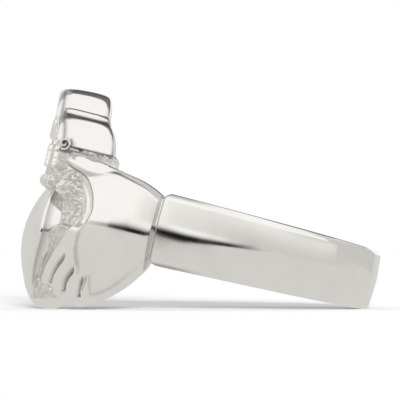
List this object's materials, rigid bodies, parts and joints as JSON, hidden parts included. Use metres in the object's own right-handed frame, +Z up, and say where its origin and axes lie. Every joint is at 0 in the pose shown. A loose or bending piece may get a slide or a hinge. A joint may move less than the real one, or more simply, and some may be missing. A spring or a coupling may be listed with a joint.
{
  "type": "claddagh ring",
  "caption": "Cast silver finger ring whose head is a heart held between two hands under a crown, on a plain band that narrows to the back.",
  "frame": {"origin": "middle of the ring's box, on the surface that it lies on", "axes": "+Z up from the surface, -X towards the head, Y across the ring; the ring lies on its side, so the finger's axis leans from +Z towards +X"},
  "size_m": [0.0258, 0.0234, 0.0159],
  "materials": {
    "silver": "polished sterling silver, with sand-cast texture left in the hollows of the head"
  },
  "bodies": {
    "root": {"ring": "silver"}
  },
  "joints": []
}
